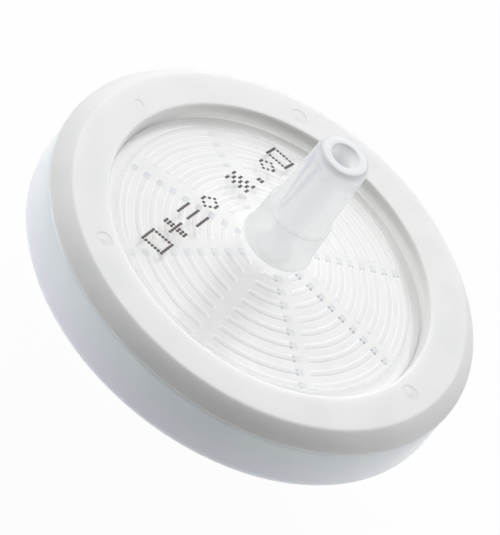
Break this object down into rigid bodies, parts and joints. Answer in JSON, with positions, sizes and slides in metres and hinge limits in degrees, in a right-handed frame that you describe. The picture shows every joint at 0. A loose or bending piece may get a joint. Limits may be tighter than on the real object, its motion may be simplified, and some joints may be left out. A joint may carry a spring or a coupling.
{
  "type": "syringe filter",
  "caption": "Disc syringe filter with a ribbed clear window over a white membrane, a white sealing ring, a male luer slip outlet on top and a female luer lock inlet underneath.",
  "frame": {"origin": "centre of the inlet's mouth, at the lowest plane, on which the filter stands", "axes": "+Z along the filter's axis, up towards the outlet's tip; +X and +Y across the disc, with the inlet's lugs along X"},
  "size_m": [0.033, 0.033, 0.0264],
  "materials": {
    "natural_plastic": "satin, milky clear natural polypropylene",
    "white_plastic": "satin white moulded plastic",
    "white_membrane": "matt white porous sheet"
  },
  "bodies": {
    "root": {"inlet_shell": "natural_plastic", "filter_membrane": "white_membrane", "outlet_shell": "natural_plastic", "sealing_ring": "white_plastic"}
  },
  "joints": []
}
